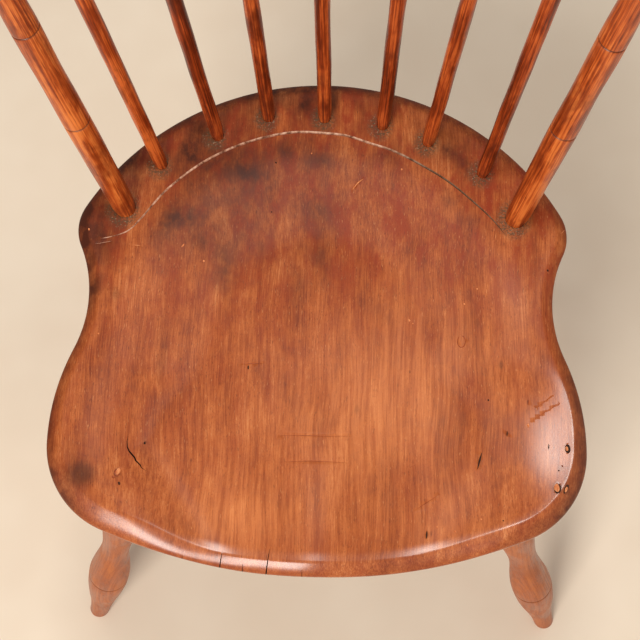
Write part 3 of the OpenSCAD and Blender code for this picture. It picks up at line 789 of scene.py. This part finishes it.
def stains_and_painted_light_at(p):
    """How far a point of the top is darkened, or below zero made paler: real stains and rubbed places
    with painted shade and painted light from the table, and painted shade along the outer edge and on
    the rolled rim at the right and front right.
    """
    ripple = p * blotch_ripple
    wander = Vector((noise.noise(ripple), noise.noise(ripple + Vector((5, 5, 5))), 0)) * blotch_wander
    shade = 0.0
    for x, y, wide, long, amount in stains_and_painted_light:
        gap = ((p.x * 1000 + wander.x - x) / wide) ** 2 + ((p.y * 1000 + wander.y - y) / long) ** 2
        shade += amount * exp(-gap)
    # Painted shade along the outer edge, darkest on the left, and on the rolled rim at the right and the
    # front right
    depth = rim_depth(p)
    edge = exp(-(depth / 0.007) ** 2)
    edge_shade = 0.50 - 0.22 * smooth((p.x + 0.05) / 0.2) - 0.30 * smooth((-p.y - 0.15) / 0.03)
    side_roll_shade = 0.22 * smooth((0.017 - depth) / 0.007) * smooth((p.x - 0.13) / 0.05) * smooth(-p.y / 0.05)
    front_right = smooth((p.x - 0.02) / 0.05) * smooth((-p.y - 0.13) / 0.03)
    front_roll_shade = 0.25 * smooth((0.012 - depth) / 0.005) * front_right
    return shade + side_roll_shade + front_roll_shade + edge * edge_shade


# Where hands have held the right side, in metres from the seat's middle: across, back, half
# width, half length and how much
handled = ((0.194, -0.105, 0.024, 0.050, 1), (0.178, 0.035, 0.030, 0.045, 0.35))


def polishing(p):
    """How far a point of the top has been rubbed to a shine by hands and clothes."""
    ridge = 1 - smooth((rim_depth(p) - 0.012) / 0.009)
    front = smooth((-p.y - 0.110) / 0.050)
    shine = ridge * (0.2 + 0.8 * front)
    for x, y, wide, long, amount in handled:
        shine += amount * exp(-((p.x - x) / wide) ** 2 - ((p.y - y) / long) ** 2)
    return min(1.0, shine)


for name, measure in (("stain_and_painted_light", stains_and_painted_light_at), ("polish", polishing)):
    layer = seat.data.attributes.new(name, "FLOAT", "POINT")
    layer.data.foreach_set("value", [measure(v.co - seat_mid) for v in seat.data.vertices])


# Legs: four bamboo turnings in a ring-porous wood, each swelling to two scribed rings. The
# tapered tops are driven into the underside of the seat, splayed and raked, and the feet
# are sawn off level with the floor.
leg_swell_r = 0.0195
leg_neck_r = 0.013
foot_r = 0.010
foot_over = 0.014
foot_bevel = 0.0008
leg_tenon_l = 0.026
leg_rings = (0.32, 0.75)
leg_top_swell = 0.92
leg_neck_at = 0.54
ring_depth = 0.0008
ring_half = 0.0013
turn_step = 0.003
# How a hand wavers: short and long waves up a piece, which die out towards its joints
short_waver = 26
long_waver = 7
steady_low = 0.03
steady_high = 0.04
steady_run = 0.05
billet_step = Vector((0.21, 0.37, 0.13))


def ringed(reach, height):
    """A line scribed round a turning with the corner of a chisel."""
    half = ((0, ring_half), (0.00012, 0.0008), (ring_depth, 0.0001))
    return ([(reach - deep, height - off) for deep, off in half]
            + [(reach - deep, height + off) for deep, off in reversed(half)])


def turned(foot, top, stations, rings, seed, hand=0.0, shade=0.0):
    """Spins soft swells through stations of reach and height, notes where the grain lies, where the
    scribed rings take painted shade and the piece's tone, and sets the piece on the line from its foot to
    its top."""
    bm = bmesh.new()
    profile = []
    for (low_r, low), (high_r, high) in zip(stations, stations[1:]):
        steps = max(1, ceil(abs(high - low) / turn_step))
        for k in range(steps):
            ease = (1 - cos(pi * k / steps)) / 2
            profile.append((low_r + (high_r - low_r) * ease, low + (high - low) * k / steps))
    profile = [(0, stations[0][1])] + profile + [stations[-1], (0, stations[-1][1])]
    verts = [bm.verts.new((reach, 0, height)) for reach, height in profile]
    edges = [bm.edges.new(pair) for pair in zip(verts, verts[1:])]
    ops.spin(bm, geom=verts + edges, axis=(0, 0, 1), angle=tau, steps=64, use_merge=True)
    ops.remove_doubles(bm, verts=bm.verts, dist=0.000001)
    ops.recalc_face_normals(bm, faces=bm.faces)
    billet = bm.verts.layers.float_vector.new("billet")
    ring_shade = bm.verts.layers.float.new("ring_shade")
    lighter = bm.verts.layers.float.new("shade")
    ends = stations[0][1], stations[-1][1]
    for v in bm.verts:
        free = (smooth((v.co.z - ends[0] - steady_low) / steady_run)
                * smooth((ends[1] - steady_high - v.co.z) / steady_run))
        lean = Vector((v.co.x, v.co.y, 0)).normalized()
        knife = noise.noise(Vector((lean.x * 0.8, lean.y * 0.8 + seed * 3.1, v.co.z * short_waver)))
        v.co += lean * hand * knife * free
        v.co.x += 1.4 * hand * free * noise.noise(Vector((seed * 1.7, 0.2, v.co.z * long_waver)))
        v[billet] = Vector((v.co.x, v.co.z, v.co.y)) + billet_step * seed
        v[lighter] = shade
        v[ring_shade] = max((max(0.0, 1 - abs(v.co.z - ring) / ring_half) for ring in rings), default=0.0)
    ops.transform(bm, verts=bm.verts, matrix=along_axis(foot, top))
    return bm


def level(bm, height):
    """Saws off all of a piece that is below a height, and gives the edges round the cut."""
    cut = ops.bisect_plane(bm, geom=bm.verts[:] + bm.edges[:] + bm.faces[:], plane_co=(0, 0, height),
                           plane_no=(0, 0, 1), clear_inner=True)["geom_cut"]
    rim = [g for g in cut if isinstance(g, bmesh.types.BMEdge)]
    ops.contextual_create(bm, geom=rim)
    ops.recalc_face_normals(bm, faces=bm.faces)
    return rim


def open_grained(name, tones, roughness=0.42, across=0.0016, figured=1.0):
    """Ring-porous wood under shellac: layers that run along the piece, with dark open pores."""
    finish = varnished(name, roughness, 0.2)[0]
    place = put("Attribute", {}, finish.node_tree, attribute_name="billet").outputs["Vector"]
    layers = figure(place, across, 0.09, 2.0, deep=0.012)
    fine = figure(place, 0.0006, 0.022, 2.0)
    patches = figure(place, 0.014, 0.05, 3.0)
    tone = plus(times(layers, 0.42), times(fine, 0.2))
    tone = plus(tone, times(patches, 0.38))
    tone = spread(tone, 0, 1, 0.5 - 0.5 * figured, 0.5 + 0.5 * figured)
    # Each piece's own lift or drop in tone: random for the spindles, and for the stiles painted light on
    # the left one and painted shade on the right one
    tone = plus(tone, measured(finish, "shade"))
    colour = stops(tone, *tones)
    blotch = figure(place, 0.020, 0.050, 4.0, 0.50, 0.66)
    colour = blend(times(blotch, 0.60 * figured), colour, tones[0])
    pores = figure(place, 0.00045, 0.012, 1.0, 0.60, 0.72)
    pores = times(pores, spread(layers, 0.75, 0.25))
    colour = blend(times(pores, 0.65), colour, (70, 28, 14))
    # Painted shade in the scribed rings
    colour = blend(times(measured(finish, "ring_shade"), 0.85), colour, (48, 24, 14))
    bump = bumped(reckon("SUBTRACT", fine, pores), 0.16, 0.0005)
    sheen = spread(patches, 0, 1, roughness - 0.08, roughness + 0.12)
    paint(finish, Base_Color=colour, Normal=bump, Roughness=sheen)
    return finish


leg_tones = (136, 56, 14), (178, 88, 32), (206, 116, 52)
leg_wood = open_grained("leg_wood", leg_tones, figured=0.55)
socket_dark = dark_gap()
stretcher_z = 0.175
side_bar_tenon_r = 0.007
medial_tenon_r = 0.0065
tenon_play = 0.0003
bore_back = 0.030


def leg_axis(ends, height):
    """The point on a leg's axis at a height from the floor."""
    foot, top = ends
    return foot.lerp(top, height / under_z)


def bore(piece, start, way, reach, deep):
    """Bores one round hole, dark inside, in a turned piece."""
    hole_bm = bmesh.new()
    socket_cutter(hole_bm, start, way, reach, deep, 1)
    cut_away(piece, hole_bm)


for seed, (place, (foot, top)) in enumerate(leg_ends.items(), 1):
    run = (top - foot).length
    rings = [share * run for share in leg_rings]
    stations = [(foot_r, -foot_over), (foot_r, 0.0)] + ringed(leg_swell_r, rings[0])
    stations += [(leg_neck_r, leg_neck_at * run)] + ringed(leg_swell_r * leg_top_swell, rings[1])
    stations += [(leg_tenon_r, run - 0.006), (leg_tenon_r, run + leg_tenon_l)]
    leg_bm = turned(foot, top, stations, rings, seed, 0.0004)
    rim = level(leg_bm, 0.0)
    ops.bevel(leg_bm, geom=rim, offset=foot_bevel, segments=2, profile=0.5, affect="EDGES", material=-1)
    leg = finished("leg_" + place, leg_bm, [leg_wood, socket_dark], "turned_wood", "leg_" + place)
    end, side_name = place.split("_")
    other = leg_ends[("rear_" if end == "front" else "front_") + side_name]
    here = leg_axis((foot, top), stretcher_z)
    way = (here - leg_axis(other, stretcher_z)).normalized()
    bore(leg, here - way * bore_back, way, side_bar_tenon_r + tenon_play, 0.037)


# Stretchers: an H of three turned bars. The side bars are socketed into the legs, and the
# medial bar, with the same swell and pair of scribed rings, springs them apart.
stretcher_r = 0.0135
stretcher_ring_r = 0.0105
stretcher_rings = (0.34, 0.66)


def stretcher(name, start, stop, tenon_r, reach, past, seed):
    """A bar from one point to another, whose tenons end a little past both."""
    run = (stop - start).length
    rings = [share * run for share in stretcher_rings]
    stations = [(tenon_r, -past), (tenon_r, reach)] + ringed(stretcher_ring_r, rings[0])
    stations += [(stretcher_r, run / 2)] + ringed(stretcher_ring_r, rings[1])
    stations += [(tenon_r, run - reach), (tenon_r, run + past)]
    bm = turned(start, stop, stations, rings, seed, 0.0003)
    return finished(name, bm, [leg_wood, socket_dark], "turned_wood", name)


bar_middles = []
for seed, side_name in enumerate(("left", "right"), 6):
    start = leg_axis(leg_ends["front_" + side_name], stretcher_z)
    stop = leg_axis(leg_ends["rear_" + side_name], stretcher_z)
    bar = stretcher("side_stretcher_" + side_name, start, stop, side_bar_tenon_r, 0.021, 0.006, seed)
    bar_middles.append((start + stop) / 2)
    way = Vector((-1 if side_name == "left" else 1, 0, 0))
    bore(bar, bar_middles[-1] - way * bore_back, way, medial_tenon_r + tenon_play, 0.034)
stretcher("medial_stretcher", *bar_middles, medial_tenon_r, 0.015, 0.003, 8)


# Stiles: the two heavier back posts, turned with three scribed rings. Each passes through
# the seat and is wedged and sawn flush below, and its thin top is pinned into the rail.
stile_tones = (112, 38, 10), (188, 84, 30), (236, 132, 60)
stile_wood = open_grained("stile_wood", stile_tones, 0.36, 0.0021)
stile_ring_r = 0.01075
stile_top_r = 0.005
first_ring = {-1: 0.30, 1: 0.307}
wedge_half = 0.0016
wedge_w = 0.0166
wedge_low = -0.060
wedge_tip = -0.022


def wedge_block(bm, foot, top, half, number=0):
    """A thin wedge that lies across the grain of the seat, on a stile's line."""
    axis = (top - foot).normalized()
    side_way = Vector((1, 0, 0)) - axis * axis.x
    side_way.normalize()
    turn = Matrix((side_way, axis.cross(side_way), axis)).transposed().to_4x4()
    verts = ops.create_cube(bm, size=1)["verts"]
    for v in verts:
        thick = half if v.co.z < 0 else half * 0.3
        end = wedge_low if v.co.z < 0 else wedge_tip
        v.co = Vector((v.co.x * wedge_w, copysign(thick, v.co.y), end))
    ops.transform(bm, verts=verts, matrix=Matrix.Translation(foot) @ turn)
    numbered(verts, number)


for seed, (side, (foot, top)) in enumerate(stile_ends.items(), 11):
    side_name = "left" if side < 0 else "right"
    run = (top - foot).length
    shoulder = run - 0.015
    rings = [share * back_h for share in (first_ring[side], 0.565, 0.8)]
    stations = [(stile_tenon_r, -0.056), (stile_tenon_r, 0.0), (0.0092, 0.0035), (0.00975, 0.010)]
    stations += ringed(stile_ring_r, rings[0]) + [(0.0102, 0.44 * back_h)] + ringed(stile_ring_r, rings[1])
    stations += [(0.0100, 0.68 * back_h)] + ringed(stile_ring_r, rings[2])
    stations += [(0.0075, shoulder - 0.006), (stile_top_r, shoulder - 0.001), (stile_top_r, run + 0.015)]
    # The left stile is painted lighter and the right one darker: painted light and painted shade
    stile_bm = turned(foot, top, stations, rings, seed, 0.0003, 0.06 if side < 0 else -0.06)
    level(stile_bm, under_z)
    name = "stile_" + side_name
    stile = finished(name, stile_bm, [stile_wood, socket_dark], "turned_wood", name)
    kerf_bm = bmesh.new()
    wedge_block(kerf_bm, foot, top, wedge_half + 0.0001, 1)
    cut_away(stile, kerf_bm)


# Spindles: seven thin round rods, shaved with a spokeshave from straight-grained billets, so
# that each wavers a little. They stand in blind holes in the deck and the rail.
spindle_tones = (84, 26, 6), (158, 62, 20), (222, 110, 46)
spindle_wood = open_grained("spindle_wood", spindle_tones, 0.38, 0.0014)
spindle_r = 0.00475
spindle_swell_r = 0.0063
spindle_tenon_l = 0.024
spindle_shades = (0.22, -0.16, -0.02, 0.04, -0.12, 0.02, -0.08)
for number, (foot, top) in enumerate(spindle_ends, 1):
    run = (top - foot).length
    stations = [(spindle_r, -spindle_tenon_l), (spindle_r, 0.0), (0.0055, 0.005), (0.0059, 0.014),
                (spindle_swell_r, 0.45 * run), (spindle_r, run - 0.018), (spindle_r, run + 0.012)]
    spindle_bm = turned(foot, top, stations, [], 20 + number, 0.0006, spindle_shades[number - 1])
    name = "spindle_%d" % number
    finished(name, spindle_bm, [spindle_wood], "spindle_wood", name)


# Crest rail: one riven strip, steamed and bent to a curve and leaned back to meet the
# sitter's shoulders. Its upper edge dips on each side of the middle and lifts to rounded
# ears, and the spindles and stiles run up into holes bored in its lower edge.
rail_tones = (112, 46, 20), (166, 78, 38), (204, 108, 58)
rail_wood = open_grained("rail_wood", rail_tones, 0.38, 0.0020)
rail_h = 0.062
rail_t = 0.018
rail_dip = 0.014
rail_soft = 0.0052
rail_thinning = 0.13
ear_r = 0.019
ear_lean, ear_rise = 0.174, 0.985
rail_half = crest_r * sin(0.312 / crest_r)
rail_body = rail_half - 2 * ear_r
ear_x = rail_half - ear_r
ear_z = rail_h - rail_dip - ear_r + 0.006
ear_start = stile_top_x + 0.0115
rail_place = Matrix.Translation((0, crest_low, deck_z + back_h)) @ Matrix.Rotation(-crest_lean, 4, "X")


def rail_edges(x):
    """Lower and upper edge of the rail at a distance from its middle."""
    x = abs(x)
    lift = sqrt(max(0.0, ear_r ** 2 - (x - ear_x) ** 2))
    join_x, join_z = ear_x - ear_r * ear_lean, ear_z + ear_r * ear_rise
    foot_x, foot_z = ear_x + ear_r * ear_lean, ear_z - ear_r * ear_rise
    high = rail_h - rail_dip * (1 - cos(pi * min(1, x / rail_body))) / 2
    if x > join_x:
        high = ear_z + lift
    elif x > rail_body:
        high += (join_z - high) * (x - rail_body) / (join_x - rail_body)
    low = 0.0
    if x > foot_x:
        low = ear_z - lift
    elif x > ear_start:
        low = foot_z * (x - ear_start) / (foot_x - ear_start)
    return low, high


def rail_section(x):
    """The rail's section: flat faces, a little thinner upwards, with every arris rounded over."""
    low, high = rail_edges(x)
    middle, tall = (low + high) / 2, max(high - low, 0.003)
    turn = asin(max(-1, min(1, x / crest_r)))
    half_t, half_h = rail_t / 2, tall / 2
    soft = min(rail_soft, half_h * 0.95)
    ring = []
    for corner, (across, up) in enumerate(((1, -1), (1, 1), (-1, 1), (-1, -1))):
        for k in range(7):
            bend = pi / 2 * (corner - 1 + k / 6)
            ring.append((across * (half_t - soft) + soft * cos(bend),
                         up * (half_h - soft) + soft * sin(bend)))
        if corner in (0, 2):
            for k in range(1, 8):
                ring.append((across * half_t, up * (half_h - soft) * (1 - k / 4)))
    points = []
    for across, up in ring:
        thin = 1 - rail_thinning * smooth((up + middle - 0.01) / 0.05)
        reach = crest_r + across * thin
        points.append(Vector((reach * sin(turn), reach * cos(turn) - crest_r, middle + up)))
    return points


rail_stations = [rail_body * k / 44 for k in range(45)]
rail_stations += [rail_body + (ear_x - rail_body) * k / 7 for k in range(1, 8)]
rail_stations += [ear_x + ear_r * sin(pi / 2 * k / 14) for k in range(1, 14)]
rail_stations += [rail_half - 0.00005]
rail_stations = [-x for x in reversed(rail_stations[1:])] + rail_stations
rail_bm = bmesh.new()
loft(rail_bm, [rail_section(x) for x in rail_stations])
ops.recalc_face_normals(rail_bm, faces=rail_bm.faces)
billet = rail_bm.verts.layers.float_vector.new("billet")
rail_bm.verts.layers.float.new("ring_shade")
for v in rail_bm.verts:
    turn = atan2(v.co.x, v.co.y + crest_r)
    v[billet] = Vector((hypot(v.co.x, v.co.y + crest_r) - crest_r, turn * crest_r + 1, v.co.z + 0.4))
ops.transform(rail_bm, verts=rail_bm.verts, matrix=rail_place)
rail = finished("crest_rail", rail_bm, [rail_wood, socket_dark], "rail_wood", "crest_rail")
holes_bm = bmesh.new()
for foot, top in spindle_ends:
    socket_cutter(holes_bm, top, top - foot, spindle_r + tenon_play, 0.013, 1)
for foot, top in stile_ends.values():
    socket_cutter(holes_bm, top, top - foot, stile_top_r + tenon_play, 0.016, 1)
peg_turn = asin(stile_top_x / crest_r)
peg_r = 0.00195
peg_bevel = 0.0005


def peg_ends(side, over):
    """The two ends of the pin line, front and back, in the leaning rail."""
    way = Vector((side * sin(peg_turn), cos(peg_turn), 0))
    centre = Vector((0, -crest_r, 0.015))
    return [rail_place @ (centre + way * (crest_r + end * (rail_t / 2 + over))) for end in (-1, 1)]


for side in (-1, 1):
    front_end, back_end = peg_ends(side, 0.001)
    middle = (front_end + back_end) / 2
    socket_cutter(holes_bm, middle, back_end - front_end, peg_r + 0.00015, 0.012, 1)
ops.recalc_face_normals(holes_bm, faces=holes_bm.faces)
cut_away(rail, holes_bm)


# Pins and wedges: whittled pins lock the stile tops in the rail, and wedges driven across
# the grain of the seat spread the stile feet in their holes.
def end_grain():
    """Dry, speckled wood for the ends of the pegs and wedges."""
    finish, place = varnished("pin_wood", 0.7, 0.0)
    fleck = figure(place, 0.0007, 0.0009, 3.0)
    colour = stops(fleck, (84, 42, 22), (126, 74, 42), (158, 100, 60))
    paint(finish, Base_Color=colour, Normal=bumped(fleck, 0.3, 0.0003))
    return finish


pin_wood = end_grain()
for side, side_name in ((-1, "left"), (1, "right")):
    front_end, back_end = peg_ends(side, 0.0003)
    peg_bm = bmesh.new()
    ops.create_cone(peg_bm, cap_ends=True, segments=24, radius1=peg_r, radius2=peg_r,
                    depth=(back_end - front_end).length,
                    matrix=along_axis((front_end + back_end) / 2, back_end))
    round_edges = [e for e in peg_bm.edges if any(len(f.verts) > 4 for f in e.link_faces)]
    ops.bevel(peg_bm, geom=round_edges, offset=peg_bevel, segments=3, profile=0.5, affect="EDGES",
              material=-1)
    finished("crest_peg_" + side_name, peg_bm, [pin_wood], "pin_wood", "crest_peg_" + side_name)

    foot, top = stile_ends[side]
    wedge_bm = bmesh.new()
    wedge_block(wedge_bm, foot, top, wedge_half)
    level(wedge_bm, under_z - 0.0003)
    finished("stile_wedge_" + side_name, wedge_bm, [pin_wood], "pin_wood", "stile_wedge_" + side_name)


# The chair stands on a plain pale floor in soft light, seen from above the front edge.
floor_finish, floor_place = varnished("floor", 0.9, 0.0)
floor_tone = stops(figure(floor_place, 0.22, 0.22, 3.0), (240, 222, 200), (246, 230, 209))
paint(floor_finish, Base_Color=floor_tone, Specular_IOR_Level=0.5, Coat_Roughness=0.03)
floor_bm = bmesh.new()
ops.create_grid(floor_bm, x_segments=1, y_segments=1, size=4)
placed("floor", floor_bm, [floor_finish])


def lamp(name, place, size, power):
    """A square lamp that shines at the middle of the seat."""
    light = bpy.data.lights.new(name, "AREA")
    light.shape = "SQUARE"
    light.size = size
    light.energy = power
    light.color = (1.0, 0.96, 0.9)
    piece = bpy.data.objects.new(name, light)
    piece.location = place
    piece.rotation_euler = (lamp_aim - Vector(place)).to_track_quat("-Z", "Y").to_euler()
    bpy.context.scene.collection.objects.link(piece)


lamp_aim = Vector((0, -0.05, 0.44))
lamp("front_left", (-0.75, -1.75, 2.4), 0.95, 48)
lamp("above_back", (-0.02, 0.30, 2.4), 0.40, 12)

scene = bpy.context.scene
world = bpy.data.worlds.new("studio")
scene.world = world
world.use_nodes = True
air = world.node_tree.nodes["Background"]
air.inputs["Color"].default_value = (1.0, 0.96, 0.91, 1.0)
sight = put("LightPath", {}, world.node_tree).outputs["Is Camera Ray"]
world.node_tree.links.new(spread(sight, 0, 1, 0.4, 0.8), air.inputs["Strength"])

camera_data = bpy.data.cameras.new("camera")
camera_data.sensor_width = 36
camera_data.lens = 85.33
camera = bpy.data.objects.new("camera", camera_data)
camera.location = (0.0282, -0.3403 + seat_mid.y, 1.6182)
turned_to = (Matrix.Rotation(radians(4.645), 3, "Z") @ Matrix.Rotation(radians(16.08), 3, "X")
             @ Matrix.Rotation(radians(-3.226), 3, "Z"))
camera.rotation_euler = turned_to.to_euler()
scene.collection.objects.link(camera)
scene.camera = camera
scene.view_settings.view_transform = "Standard"
